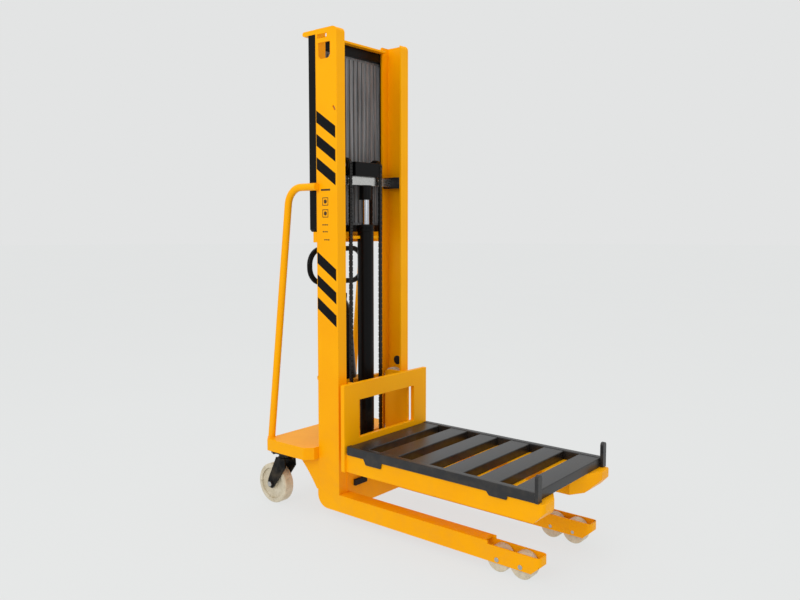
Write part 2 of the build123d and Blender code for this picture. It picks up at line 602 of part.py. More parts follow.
lug = block(
    PULLEY_X + CHAIN_R - 16, CARRIAGE_REAR,
    -FLANGE_EDGE + 20, -PULLEY_Y + 20,
    LUG_TOP - 15, LUG_TOP,
)
save("chain_lugs", lug, other_side(lug))

# ---------------------------------------------------------------- forks
fork = block(CARRIAGE_FRONT, FORK_TIP, -FORK_OUTER, -FORK_INNER, FORK_BOTTOM, FORK_TOP)
inner_taper = Polyline(
    (FORK_TIP, -FORK_OUTER + 75), (FORK_TIP - 75, -FORK_INNER + 1),
    (FORK_TIP + 1, -FORK_INNER + 1), (FORK_TIP + 1, -FORK_OUTER + 75), (FORK_TIP, -FORK_OUTER + 75),
)
fork -= Pos(0, 0, FORK_BOTTOM - 1) * extrude(make_face(inner_taper), amount=FORK_DEPTH + 2)
fork = fillet(edges_along(fork, Axis.Z, lambda c: c.X > FORK_TIP - 20), 18)
nose_undercut = [
    (FORK_TIP - 40, FORK_BOTTOM),
    (FORK_TIP, FORK_BOTTOM + 42),
    (FORK_TIP + 1, FORK_BOTTOM - 1),
    (FORK_TIP - 40, FORK_BOTTOM - 1),
]
fork -= plate_xz(nose_undercut, -FORK_OUTER - 1, -FORK_INNER + 1)
fork -= block(
    CARRIAGE_FRONT + FORK_WALL, FORK_TIP - 90,
    -FORK_OUTER + FORK_WALL, -FORK_INNER - FORK_WALL,
    FORK_BOTTOM - 1, FORK_TOP - FORK_WALL,
)
save("fork_right", fork)
save("fork_left", other_side(fork))

# ---------------------------------------------------------------- slatted platform
rail = block(PLATFORM_REAR, PLATFORM_FRONT, -PLATFORM_OUTER, -RAIL_INNER, FORK_TOP, PLATFORM_TOP)
rail = fillet(rail.edges().filter_by(Axis.X), 4)
rail -= block(
    PLATFORM_REAR + SHEET_THK, PLATFORM_FRONT - SHEET_THK,
    -PLATFORM_OUTER + SHEET_THK, -RAIL_INNER - SHEET_THK,
    FORK_TOP + SHEET_THK, PLATFORM_TOP - SHEET_THK,
)
# Clips hang from the rail over the fork's outer face: start, length and drop of each.
CLIPS = ((PLATFORM_REAR + 87, 100.0, 22.0), (PLATFORM_FRONT - 200, 93.0, 13.0))
for start, length, drop in CLIPS:
    clip = [
        (start, FORK_TOP + 6),
        (start + 16, FORK_TOP - drop),
        (start + length - 6, FORK_TOP - drop),
        (start + length, FORK_TOP + 6),
    ]
    rail += plate_xz(clip, -PLATFORM_OUTER, -FORK_OUTER)
save("platform_rail_right", rail)
save("platform_rail_left", other_side(rail))

SLAT_PITCH = (PLATFORM_FRONT - PLATFORM_REAR - SLAT_WIDTH) / (SLAT_COUNT - 1)
slats = []
for i in range(SLAT_COUNT):
    x0 = PLATFORM_REAR + i * SLAT_PITCH
    slat = block(x0, x0 + SLAT_WIDTH, -RAIL_INNER, RAIL_INNER, FORK_TOP, PLATFORM_TOP - 2)
    slat = fillet(edges_along(slat, Axis.Y, lambda c: c.Z > FORK_TOP + 9), 4)
    slat -= block(
        x0 + SHEET_THK, x0 + SLAT_WIDTH - SHEET_THK,
        -RAIL_INNER + SHEET_THK, RAIL_INNER - SHEET_THK,
        FORK_TOP + SHEET_THK, PLATFORM_TOP - 2 - SHEET_THK,
    )
    slats.append(slat)
save("platform_slats", *slats)

POST_TOP = PLATFORM_TOP + POST_HEIGHT
post = block(PLATFORM_FRONT, PLATFORM_FRONT + POST_THK, -PLATFORM_OUTER, -RAIL_INNER, FORK_TOP, POST_TOP)
post = fillet(edges_along(post, Axis.X, lambda c: c.Z > POST_TOP - 1), 12)
save("platform_posts", post, other_side(post))
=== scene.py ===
import json
import math
import random

import bmesh
import bpy
from mathutils import Matrix, Vector

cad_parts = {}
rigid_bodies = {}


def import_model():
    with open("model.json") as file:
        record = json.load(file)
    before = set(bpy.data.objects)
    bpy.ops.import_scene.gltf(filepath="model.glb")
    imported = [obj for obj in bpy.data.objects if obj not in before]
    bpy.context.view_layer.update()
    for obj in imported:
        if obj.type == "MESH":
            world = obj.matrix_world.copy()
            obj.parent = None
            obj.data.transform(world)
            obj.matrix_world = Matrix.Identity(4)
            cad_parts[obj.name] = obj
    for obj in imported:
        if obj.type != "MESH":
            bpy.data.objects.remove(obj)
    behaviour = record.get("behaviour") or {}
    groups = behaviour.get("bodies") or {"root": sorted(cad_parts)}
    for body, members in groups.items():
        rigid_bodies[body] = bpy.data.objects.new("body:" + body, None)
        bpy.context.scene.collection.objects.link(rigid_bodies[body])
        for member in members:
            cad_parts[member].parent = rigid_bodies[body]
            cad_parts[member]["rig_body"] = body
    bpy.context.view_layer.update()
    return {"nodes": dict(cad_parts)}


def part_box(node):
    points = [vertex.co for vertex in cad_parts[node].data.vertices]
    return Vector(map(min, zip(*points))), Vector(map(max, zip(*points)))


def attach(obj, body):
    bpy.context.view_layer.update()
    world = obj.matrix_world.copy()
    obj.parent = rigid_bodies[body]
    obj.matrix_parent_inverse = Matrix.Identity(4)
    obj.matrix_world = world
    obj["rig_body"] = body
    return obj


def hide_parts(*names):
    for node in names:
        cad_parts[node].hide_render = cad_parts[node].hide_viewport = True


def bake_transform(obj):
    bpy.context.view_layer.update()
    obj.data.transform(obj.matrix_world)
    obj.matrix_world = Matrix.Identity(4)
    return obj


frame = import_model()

scene = bpy.context.scene
nodes = frame["nodes"]
random.seed(7)

# ------------------------------------------------------------------ places on the machine
# Every place below is written in millimetres from the rear face of the mast, the middle of
# the machine and the floor, and the frame says where that face lies.
MAST_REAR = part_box("mast_upright_right")[0].x
MAST_SIDE = -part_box("mast_upright_right")[0].y * 1000


def at(x, y, z):
    return Vector((MAST_REAR + x / 1000, y / 1000, z / 1000))


# ------------------------------------------------------------------ viewpoint
# A standing viewer in front of the machine's right-hand fork, eyes at 1.25 m, with the
# mast near the middle of the view.
EYES = at(2337.9, -2530.4, 1250.9)
VIEW_TURN = math.radians(39.3)
VIEW_DIP = math.radians(4.5)
SENSOR_MM = 36
LENS_MM = 34.2
LENS_SHIFT = -0.015
camera = bpy.data.objects.new("camera", bpy.data.cameras.new("camera"))
scene.collection.objects.link(camera)
camera.location = EYES
camera.rotation_euler = (math.pi / 2 - VIEW_DIP, 0, VIEW_TURN)
camera.data.sensor_width = SENSOR_MM
camera.data.lens = LENS_MM
camera.data.shift_y = LENS_SHIFT
scene.camera = camera
scene.view_settings.view_transform = "Standard"


# ------------------------------------------------------------------ studio floor and light
# A matt pale floor that runs out to a plain pale surround of the same tone, lit by large
# soft panels, so that the machine throws only a faint shadow.
def linear(hexcode):
    """An sRGB hex colour as linear RGBA."""
    values = [int(hexcode[i:i + 2], 16) / 255 for i in (0, 2, 4)]
    return tuple(v / 12.92 if v <= 0.04045 else ((v + 0.055) / 1.055) ** 2.4 for v in values) + (1.0,)


def add(tree, kind, inputs=None, **settings):
    """Adds one node; inputs are values or other nodes' sockets, by name or number."""
    node = tree.nodes.new(kind)
    for key, value in settings.items():
        setattr(node, key, value)
    for key, value in (inputs or {}).items():
        if isinstance(value, bpy.types.NodeSocket):
            tree.links.new(value, node.inputs[key])
        else:
            node.inputs[key].default_value = value
    return node


def noise(tree, place, scale, detail, roughness=0.5):
    """Fractal noise with the given number of cells in a metre."""
    wanted = {"Vector": place, "Scale": scale, "Detail": detail, "Roughness": roughness}
    return add(tree, "ShaderNodeTexNoise", wanted).outputs["Fac"]


def ramp(tree, value, low, high, top=1.0):
    """Nothing where the value is at low, rising to top where it is at high."""
    wanted = {"Value": value, "From Min": low, "From Max": high, "To Max": top}
    return add(tree, "ShaderNodeMapRange", wanted).outputs[0]


def mixed(tree, factor, first, second):
    """The first colour where the factor is 0 and the second where it is 1."""
    wanted = {"Factor": factor, "A": first, "B": second}
    return add(tree, "ShaderNodeMix", wanted, data_type="RGBA").outputs["Result"]


def stretched(tree, place, scale, rotation=(0.0, 0.0, 0.0)):
    """The place, scaled by its own number along each axis and then turned."""
    wanted = {"Vector": place, "Scale": scale, "Rotation": rotation}
    return add(tree, "ShaderNodeMapping", wanted).outputs[0]


def product(tree, first, second):
    return add(tree, "ShaderNodeMath", {0: first, 1: second}, operation="MULTIPLY").outputs[0]


def raised(tree, value, gain, start):
    """The start with the value times the gain added to it."""
    wanted = {0: value, 1: gain, 2: start}
    return add(tree, "ShaderNodeMath", wanted, operation="MULTIPLY_ADD").outputs[0]


def new_material(name):
    material = bpy.data.materials.new(name)
    material.use_nodes = True
    material.node_tree.nodes.clear()
    return material, material.node_tree


def finish_mesh(name, bm, material, smooth_angle=35):
    """Turns a bmesh into an object at the origin, with one material."""
    bmesh.ops.recalc_face_normals(bm, faces=bm.faces)
    mesh = bpy.data.meshes.new(name)
    bm.to_mesh(mesh)
    bm.free()
    mesh.shade_smooth()
    mesh.set_sharp_from_angle(angle=math.radians(smooth_angle))
    mesh.materials.append(material)
    piece = bpy.data.objects.new(name, mesh)
    scene.collection.objects.link(piece)
    return piece


SURROUND = linear("E3E4E4")
FLOOR_GLOW = 0.885
FLOOR_RADIUS = 60
floor_paint, tree = new_material("matt_floor_paint")
place = add(tree, "ShaderNodeTexCoord").outputs["Object"]
tone = mixed(tree, noise(tree, place, 0.8, 3.0), linear("585A59"), linear("5C5E5D"))
surface = add(tree, "ShaderNodeBsdfPrincipled", {
    "Base Color": tone, "Roughness": 1.0, "Specular IOR Level": 0.0,
    "Emission Color": SURROUND, "Emission Strength": FLOOR_GLOW})
add(tree, "ShaderNodeOutputMaterial", {"Surface": surface.outputs[0]})
bm = bmesh.new()
bmesh.ops.create_circle(bm, cap_ends=True, segments=64, radius=FLOOR_RADIUS)
floor = finish_mesh("studio_floor", bm, floor_paint)

world = bpy.data.worlds.new("studio")
scene.world = world
world.use_nodes = True
world.node_tree.nodes["Background"].inputs["Color"].default_value = SURROUND
world.node_tree.nodes["Background"].inputs["Strength"].default_value = 1.0


def soft_panel(name, place, aim, size, power):
    lamp = bpy.data.lights.new(name, "AREA")
    lamp.shape = "RECTANGLE"
    lamp.size, lamp.size_y = size
    lamp.energy = power
    thing = bpy.data.objects.new(name, lamp)
    scene.collection.objects.link(thing)
    thing.location = place
    thing.rotation_euler = (Vector(aim) - Vector(place)).to_track_quat("-Z", "Y").to_euler()


soft_panel("key_panel", (0.4, -4.8, 3.2), (0, 0, 1.0), (3.2, 2.6), 70)
soft_panel("front_panel", (4.6, -0.8, 2.4), (0, 0, 0.9), (2.2, 2.2), 14)
soft_panel("top_panel", (-0.4, -0.2, 5.4), (0, 0, 0), (3.0, 3.0), 55)


# ------------------------------------------------------------------ yellow steelwork
# The mast channels, legs, forks, carriage, base and rails are cut and welded mild steel,
# sprayed with warm yellow enamel. The edges are broken by hand before painting, the paint
# has a fine orange peel, and it is rubbed and chipped where things knock against it.
PEEL = 0.25
PEEL_DEPTH = 0.0004
CHIPPED_BAND = 0.0025
DUST_TOP = 0.55


def painted_steel(name, coat, shade, bare, gloss, shine, chips, dust, painted_streaks=0.0):
    """Sprayed enamel on steel: slow colour drift, orange peel, rubbed edges, dust low down."""
    material, tree = new_material(name)
    place = add(tree, "ShaderNodeTexCoord").outputs["Object"]
    drift = ramp(tree, noise(tree, place, 4.5, 4.0, 0.55), 0.35, 0.7)
    body = mixed(tree, drift, linear(coat), linear(shade))
    # rubbed marks about 3 mm apart, drawn out along the length
    drawn = stretched(tree, place, (60.0, 300.0, 16.0), (0.1, 0.3, 0.2))
    rubbed = ramp(tree, noise(tree, drawn, 1.0, 3.0), 0.62, 0.78)
    # upright pale streaks of painted light, only on the sheet panel
    upright = stretched(tree, place, (240.0, 240.0, 3.0))
    painted_streak = ramp(tree, noise(tree, upright, 1.0, 5.0, 0.6), 0.42, 0.66, painted_streaks)
    body = mixed(tree, painted_streak, body, linear("C9CACC"))
    # chipped edges, in a narrow band where the surface turns a corner
    flat = add(tree, "ShaderNodeNewGeometry").outputs["Normal"]
    rounded = add(tree, "ShaderNodeBevel", {"Radius": CHIPPED_BAND}, samples=4).outputs[0]
    facing = add(tree, "ShaderNodeVectorMath", {0: rounded, 1: flat}, operation="DOT_PRODUCT")
    edge = ramp(tree, facing.outputs["Value"], 0.97, 0.86)
    flaked = ramp(tree, noise(tree, place, 85.0, 5.0, 0.7), 0.62 - 0.12 * chips, 0.70 - 0.10 * chips)
    chipped = product(tree, edge, flaked)
    worn = mixed(tree, chipped, body, linear(bare))
    # dust that settles on the lowest half metre
    height = add(tree, "ShaderNodeSeparateXYZ", {0: place}).outputs["Z"]
    cloud = ramp(tree, noise(tree, place, 18.0, 6.0, 0.65), 0.45, 0.75, dust)
    dusty = product(tree, ramp(tree, height, DUST_TOP, 0.0), cloud)
    colour = mixed(tree, dusty, worn, linear("8C7B62"))
    rough = raised(tree, dusty, 0.5, raised(tree, rubbed, 0.12, gloss))
    # orange peel: 3 mm cells, a few hundredths of a millimetre deep
    relief = raised(tree, chipped, -0.8, noise(tree, place, 330.0, 2.0))
    bump = add(tree, "ShaderNodeBump", {"Height": relief, "Strength": PEEL, "Distance": PEEL_DEPTH})
    paint = add(tree, "ShaderNodeBsdfPrincipled", {
        "Base Color": colour, "Roughness": rough, "Normal": bump.outputs[0],
        "Specular IOR Level": shine})
    add(tree, "ShaderNodeOutputMaterial", {"Surface": paint.outputs[0]})
    return material


SAME_PLANE = math.radians(1)
SHADED_SHARP = math.radians(32)
CORNER = math.radians(40)


def broken_edges(node, material, width=0.0018, steps=2):
    """The CAD piece with its hard corners rounded off, standing in for the node."""
    bm = bmesh.new()
    bm.from_mesh(nodes[node].data)
    bmesh.ops.remove_doubles(bm, verts=bm.verts, dist=0.00001)
    bmesh.ops.dissolve_limit(bm, angle_limit=SAME_PLANE, verts=bm.verts, edges=bm.edges)
    mesh = bpy.data.meshes.new("finished_" + node)
    bm.to_mesh(mesh)
    bm.free()
    mesh.shade_smooth()
    mesh.set_sharp_from_angle(angle=SHADED_SHARP)
    mesh.materials.clear()
    mesh.materials.append(material)
    piece = bpy.data.objects.new("finished_" + node, mesh)
    scene.collection.objects.link(piece)
    bevel = piece.modifiers.new("broken edges", "BEVEL")
    bevel.width = width
    bevel.segments = steps
    bevel.limit_method = "ANGLE"
    bevel.angle_limit = CORNER
    bevel.harden_normals = True
    bevel.use_clamp_overlap = True
    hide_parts(node)
    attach(piece, nodes[node]["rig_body"])
    return piece


def coat_node(node, material):
    """Puts a finish on a CAD piece that is shown as it is."""
    nodes[node].data.materials.clear()
    nodes[node].data.materials.append(material)


yellow_enamel = painted_steel(
    "yellow_sprayed_enamel", "FFB000", "FCA900", "6E4A1E", 0.36, 0.09, chips=0.35, dust=0.09)
YELLOW_NODES = (
    "mast_upright_right", "mast_upright_left", "mast_top_beam", "mast_mid_beam", "mast_base_beam",
    "screen_arms", "base_box", "base_gussets", "leg_right", "leg_left", "pump_shelf",
    "carriage_frame", "carriage_side_plate_right", "carriage_side_plate_left", "chain_lugs",
    "fork_right", "fork_left", "chain_anchors",
)
for node in YELLOW_NODES:
    broken_edges(node, yellow_enamel)
for node in ("push_handle_right", "push_handle_left"):
    coat_node(node, yellow_enamel)

# ------------------------------------------------------------------ black steelwork
# The screen frame, pump, bow handle, cylinder and caster yokes are sprayed black, semi-gloss.
black_enamel = painted_steel(
    "black_sprayed_enamel", "060607", "09090A", "2E2C2A", 0.32, 0.12, chips=0.6, dust=0.3)
BLACK_NODES = (
    "guard_screen_frame", "pump_head", "crosshead_carrier", "caster_yoke_right",
    "caster_yoke_left", "caster_mounts", "pump_reservoir", "cylinder_barrel", "piston_cap",
    "pump_handle",
)
for node in BLACK_NODES:
    broken_edges(node, black_enamel, width=0.0012)

# ------------------------------------------------------------------ slatted platform
# Rails, slats and posts are folded and box-section steel in a satin charcoal finish. Its edges are painted a
# lighter grey, partly rubbed paint and partly a painted highlight along the edges.
charcoal_enamel = painted_steel(
    "charcoal_sprayed_enamel", "17181B", "111215", "5C5955", 0.36, 0.5, chips=1.0, dust=0.25)
for node in ("platform_rail_right", "platform_rail_left", "platform_slats", "platform_posts"):
    broken_edges(node, charcoal_enamel, width=0.0012)

# ------------------------------------------------------------------ guard screen panel
# A grey steel sheet pressed into upright ribs, with pale streaks of painted light down its length.
grey_enamel = painted_steel(
    "grey_sprayed_sheet", "6B6C6E", "58595B", "3A3836", 0.5, 0.3, chips=0.3, dust=0.1, painted_streaks=0.45)
broken_edges("guard_screen_panel", grey_enamel, width=0.0012)


# ------------------------------------------------------------------ nylon wheels and rollers
# The rear wheels, load rollers and guide rollers are turned from cast cream nylon, and the
# crosshead shoes from black nylon. Running on dusty floors greys the treads.
def moulded(name, colour, shade, grime, rough, grain_mm, depth_mm, soiling=0.5, shine=0.3):
    """Plastic or rubber: slow mottling, soiling in patches, fine grain at a real size."""
    material, tree = new_material(name)
    place = add(tree, "ShaderNodeTexCoord").outputs["Object"]
    mottle = ramp(tree, noise(tree, place, 22.0, 4.0, 0.6), 0.35, 0.68)
    body = mixed(tree, mottle, linear(colour), linear(shade))
    smear = ramp(tree, noise(tree, place, 60.0, 7.0, 0.7), 0.5, 0.74, soiling)
    soiled = mixed(tree, smear, body, linear(grime))
    fine = noise(tree, place, 1000.0 / grain_mm, 3.0)
    bump = add(tree, "ShaderNodeBump", {"Height": fine, "Strength": 0.5, "Distance": depth_mm / 1000})
    shell = add(tree, "ShaderNodeBsdfPrincipled", {
        "Base Color": soiled, "Roughness": raised(tree, smear, 0.25, rough),
        "Normal": bump.outputs[0], "Specular IOR Level": shine})
    add(tree, "ShaderNodeOutputMaterial", {"Surface": shell.outputs[0]})
    return material


cream_nylon = moulded("cream_cast_nylon", "D8CDB6", "C6B99E", "7D715B", 0.42, 1.2, 0.05)
black_nylon = moulded("black_cast_nylon", "17171A", "1E1E21", "5A564F", 0.45, 1.5, 0.05, soiling=0.3)
ROLLERS = [
    "guide_roller_right_upper", "guide_roller_right_lower",
    "guide_roller_left_upper", "guide_roller_left_lower",
    "load_roller_right_rear", "load_roller_right_front",
    "load_roller_left_rear", "load_roller_left_front",
]
for node in ROLLERS + ["caster_wheel_right", "caster_wheel_left"]:
    broken_edges(node, cream_nylon, width=0.0008)
broken_edges("crosshead_shoes", black_nylon, width=0.0015)

# ------------------------------------------------------------------ rubber
# The bump pads are moulded black rubber, and the pump hose is rubber over woven braid.
black_rubber = moulded("black_moulded_rubber", "131313", "1B1B1B", "4C4740", 0.72, 0.9, 0.08, soiling=0.35)
broken_edges("buffer_pads", black_rubber, width=0.003, steps=3)
coat_node("hydraulic_hose", black_rubber)


# ------------------------------------------------------------------ bare metal
# The rod is hard-chromed, the bolts and pins are zinc-plated, the guide bar is bright drawn
# steel, and the pulleys and chains are dark steel under a film of oil.
def bare_metal(name, colour, shade, stain, rough, brush, staining, depth_mm=0.02, oil=0.0):
    """Metal with fine marks; brush is how many of them a metre holds along each axis."""
    material, tree = new_material(name)
    place = add(tree, "ShaderNodeTexCoord").outputs["Object"]
    marks = noise(tree, stretched(tree, place, brush), 1.0, 4.0, 0.7)
    body = mixed(tree, marks, linear(colour), linear(shade))
    patch = ramp(tree, noise(tree, place, 45.0, 6.0, 0.7), 0.52, 0.78, staining)
    stained = mixed(tree, patch, body, linear(stain))
    roughness = raised(tree, patch, 0.3, raised(tree, marks, 0.18, rough - 0.09))
    bump = add(tree, "ShaderNodeBump", {"Height": marks, "Strength": 0.4, "Distance": depth_mm / 1000})
    metal = add(tree, "ShaderNodeBsdfPrincipled", {
        "Base Color": stained, "Metallic": 1.0, "Roughness": roughness,
        "Normal": bump.outputs[0], "Coat Weight": oil, "Coat Roughness": 0.15})
    add(tree, "ShaderNodeOutputMaterial", {"Surface": metal.outputs[0]})
    return material


chrome = bare_metal(
    "hard_chrome", "C9CCD2", "B4B8BF", "8A8378", 0.14, (900.0, 900.0, 60.0), 0.15, depth_mm=0.004)
zinc_steel = bare_metal(
    "zinc_plated_steel", "C4C4C2", "A9A9A8", "7D7264", 0.30, (260.0, 260.0, 260.0), 0.35)
drawn_bar = bare_metal(
    "bright_drawn_bar", "D4D4D2", "BDBDBB", "8C8174", 0.26, (700.0, 30.0, 700.0), 0.25)
oiled_steel = bare_metal(
    "oiled_chain_steel", "2B2A29", "1D1C1B", "12100E", 0.34, (400.0, 400.0, 400.0), 0.6, oil=0.5)
coat_node("piston_rod", chrome)
broken_edges("crosshead_guide_bar", drawn_bar, width=0.001)
for node in ("pulley_axle", "load_roller_pins", "caster_axle_right", "caster_axle_left"):
    broken_edges(node, zinc_steel, width=0.001)
for node in ("chain_pulley_right", "chain_pulley_left"):
    broken_edges(node, oiled_steel, width=0.0008)


# ------------------------------------------------------------------ hazard stripes
# Black vinyl film stuck on the right-hand channel in two groups of three slanting stripes,
# each 50 mm tall, with its ends cut along the channel's edges.
def film_shape(bm, corners, y, thickness):
    """A flat film with the given (x, z) corners, standing just proud of the channel's side."""
    face = bm.faces.new([bm.verts.new(at(x, y, z)) for x, z in corners])
    grown = bmesh.ops.extrude_face_region(bm, geom=[face])
    moved = [v for v in grown["geom"] if isinstance(v, bmesh.types.BMVert)]
    bmesh.ops.translate(bm, verts=moved, vec=(0, -thickness / 1000, 0))


black_vinyl = moulded(
    "black_vinyl_film", "070708", "0B0B0C", "3A3733", 0.4, 2.2, 0.02, soiling=0.15, shine=0.1)
STRIPE_START = 2.5
STRIPE_END = 113.0
STRIPE_TALL = 50.0
STRIPE_PITCH = 97.5
STRIPE_DROP = 73.0
STRIPE_GROUP_TOPS = (1746.0, 1151.0)
STRIPES_IN_GROUP = 3
FILM = 0.35
bm = bmesh.new()
for group_top in STRIPE_GROUP_TOPS:
    for i in range(STRIPES_IN_GROUP):
        high = group_top - i * STRIPE_PITCH
        film_shape(bm, [
            (STRIPE_START, high),
            (STRIPE_START, high - STRIPE_TALL),
            (STRIPE_END, high - STRIPE_TALL - STRIPE_DROP),
            (STRIPE_END, high - STRIPE_DROP),
        ], -MAST_SIDE, FILM)
stripes = finish_mesh("hazard_stripes", bm, black_vinyl)
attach(stripes, "chassis")

# ------------------------------------------------------------------ plain labels
# Small printed films between the two stripe groups. Their wording is left out: a bar, two
# framed squares with a plain disc, and three short rules stand in for it.
label_ink = moulded("label_ink", "3A2A12", "4A3615", "7C5A20", 0.5, 1.5, 0.01)
DISC_SHARE = 0.26
bm = bmesh.new()


def rule(x0, x1, z, tall):
    high = z + tall / 2
    low = z - tall / 2
    film_shape(bm, [(x0, high), (x0, low), (x1, low), (x1, high)], -MAST_SIDE, FILM)


def framed_square(x, z, size, line):
    half = size / 2
    for side in (-1, 1):
        rule(x - half, x + half, z + side * (half - line / 2), line)
        film_shape(bm, [
            (x + side * half, z + half - line), (x + side * half, z - half + line),
            (x + side * (half - line), z - half + line), (x + side * (half - line), z + half - line),
        ], -MAST_SIDE, FILM)
    bmesh.ops.create_circle(
        bm, cap_ends=True, segments=20, radius=size * DISC_SHARE / 1000,
        matrix=Matrix.Translation(at(x, -MAST_SIDE - FILM, z)) @ Matrix.Rotation(math.pi / 2, 4, "X"))


rule(27, 81, 1412, 8)
framed_square(52, 1363, 34, 3)
framed_square(52, 1313, 34, 3)
for z, x0, x1 in ((1265, 34, 70), (1236, 36, 68), (1202, 44, 78)):
    for k in range(3):
        step = (x1 - x0) / 3
        rule(x0 + k * step, x0 + (k + 0.7) * step, z, 5)
labels = finish_mesh("plain_labels", bm, label_ink)
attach(labels, "chassis")


# ------------------------------------------------------------------ lift chains
# Two leaf chains, 12.7 mm pitch, laced from pressed figure-of-eight plates on riveted pins.
# Each climbs from the carriage lug over its pulley and down to the anchor stud behind.
CHAIN_PITCH = 12.7
PLATE_THK = 2.2
PLATE_END_R = 5.4
PLATE_WAIST = 4.0
PIN_R = 2.2
PIN_LONG = 17.6
LACING = ((-6.9, 0.0, 6.9), (-4.6, 4.6, 2.3, -2.3))
PULLEY_LOW, PULLEY_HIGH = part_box("chain_pulley_right")
PULLEY_X = ((PULLEY_LOW.x + PULLEY_HIGH.x) / 2 - MAST_REAR) * 1000
PULLEY_Y = -(PULLEY_LOW.y + PULLEY_HIGH.y) / 2 * 1000
PULLEY_Z = (PULLEY_LOW.z + PULLEY_HIGH.z) / 2 * 1000
CHAIN_R = 28.0
LUG_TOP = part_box("chain_lugs")[1].z * 1000
ANCHOR_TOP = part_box("chain_anchors")[1].z * 1000


def link_plate(bm, spot, along, across, y):
    """One figure-of-eight plate between two pins, built round the middle of the link."""
    outline = []
    for end in (1, -1):
        for k in range(-2, 3):
            turn = k * math.pi / 4
            reach = CHAIN_PITCH / 2 + PLATE_END_R * math.cos(turn)
            outline.append((end * reach, end * PLATE_END_R * math.sin(turn)))
        outline.append((0.0, end * PLATE_WAIST))
    sideways = Vector((0, y / 1000, 0))
    ring = [bm.verts.new(spot + (along * u + across * w) / 1000 + sideways) for u, w in outline]
    face = bm.faces.new(ring)
    grown = bmesh.ops.extrude_face_region(bm, geom=[face])
    moved = [v for v in grown["geom"] if isinstance(v, bmesh.types.BMVert)]
    bmesh.ops.translate(bm, verts=moved, vec=(0, PLATE_THK / 1000, 0))


def chain_spot(length, front):
    """Place and heading of the chain, measured from the top of its straight run."""
    if length >= 0:
        side = 1 if front else -1
        return at(PULLEY_X + side * CHAIN_R, 0, PULLEY_Z - length), Vector((0, 0, -1)), Vector((1, 0, 0))
    turn = -length / CHAIN_R
    out = Vector((math.cos(turn), 0, math.sin(turn)))
    along = Vector((out.z, 0, -out.x))
    return at(PULLEY_X, 0, PULLEY_Z) + out * CHAIN_R / 1000, along, out


def leaf_chain(name, start, end, front, side):
    bm = bmesh.new()
    count = int((end - start) / CHAIN_PITCH)
    for i in range(count):
        spot, along, across = chain_spot(start + (i + 0.5) * CHAIN_PITCH, front)
        spot = spot + Vector((0, side * PULLEY_Y / 1000, 0))
        for y in LACING[i % 2]:
            link_plate(bm, spot, along, across, y - PLATE_THK / 2)
        pin_spot = spot + along * CHAIN_PITCH / 2000
        bmesh.ops.create_cone(
            bm, cap_ends=True, segments=8, radius1=PIN_R / 1000, radius2=PIN_R / 1000,
            depth=PIN_LONG / 1000,
            matrix=Matrix.Translation(pin_spot) @ Matrix.Rotation(math.pi / 2, 4, "X"))
    chain = finish_mesh(name, bm, oiled_steel)
    return chain


for side, word in ((-1, "right"), (1, "left")):
    y = side * PULLEY_Y
    front = leaf_chain("leaf_chain_front_" + word, -CHAIN_R * math.pi, PULLEY_Z - LUG_TOP, True, side)
    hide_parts("chain_front_" + word)
    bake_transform(front)
    rear = leaf_chain("leaf_chain_rear_" + word, 0.0, PULLEY_Z - ANCHOR_TOP, False, side)
    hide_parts("chain_rear_" + word)
    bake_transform(rear)


# ------------------------------------------------------------------ weld beads
# Every joint is arc-welded before painting, so the beads carry the same paint as the steel.
# A bead is a row of overlapping ripples, about 3.4 mm apart, laid by hand and a little uneven.
RIPPLE_STEP = 3.4
BASE_BEAD = 2.8
PLATE_BEAD = 2.6
BRACKET_BEAD = 2.4
CARRIAGE_BEAD = 3.0
FORK_SIDE_BEAD = 2.4
SLAT_BEAD = 2.2
HANDLE_RING_R = 16.5
HANDLE_INSET = 33


def pour(bm, part):
    """Adds a finished part to a larger bmesh."""
    mesh = bpy.data.meshes.new("part")
    part.to_mesh(mesh)
    part.free()
    bm.from_mesh(mesh)
    bpy.data.meshes.remove(mesh)


def weld_run(bm, start, end, radius):
    """Ripples from start to end, each a small flattened ball."""
    bead = bmesh.new()
    count = max(2, int((end - start).length * 1000 / RIPPLE_STEP))
    heading = (end - start).to_track_quat("X", "Z").to_matrix().to_4x4()
    for i in range(count + 1):
        spot = start.lerp(end, i / count)
        size = radius / 1000 * random.uniform(0.88, 1.12)
        lean = Matrix.Diagonal((0.95, random.uniform(0.92, 1.08), random.uniform(0.92, 1.08), 1))
        bmesh.ops.create_uvsphere(
            bead, u_segments=8, v_segments=5, radius=size,
            matrix=Matrix.Translation(spot) @ heading @ lean)
    pour(bm, bead)


def weld_ring(bm, middle, ring_r, radius):
    bead = bmesh.new()
    steps = max(12, int(2 * math.pi * ring_r / RIPPLE_STEP))
    for i in range(steps):
        turn = 2 * math.pi * i / steps
        spot = middle + Vector((math.cos(turn), math.sin(turn), 0)) * ring_r / 1000
        bmesh.ops.create_uvsphere(
            bead, u_segments=8, v_segments=5, radius=radius / 1000 * random.uniform(0.88, 1.12),
            matrix=Matrix.Translation(spot))
    pour(bm, bead)


def box_mm(node):
    """A CAD node's lowest and highest corner in the millimetre places used here."""
    low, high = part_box(node)
    return (
        Vector(((low.x - MAST_REAR) * 1000, low.y * 1000, low.z * 1000)),
        Vector(((high.x - MAST_REAR) * 1000, high.y * 1000, high.z * 1000)),
    )


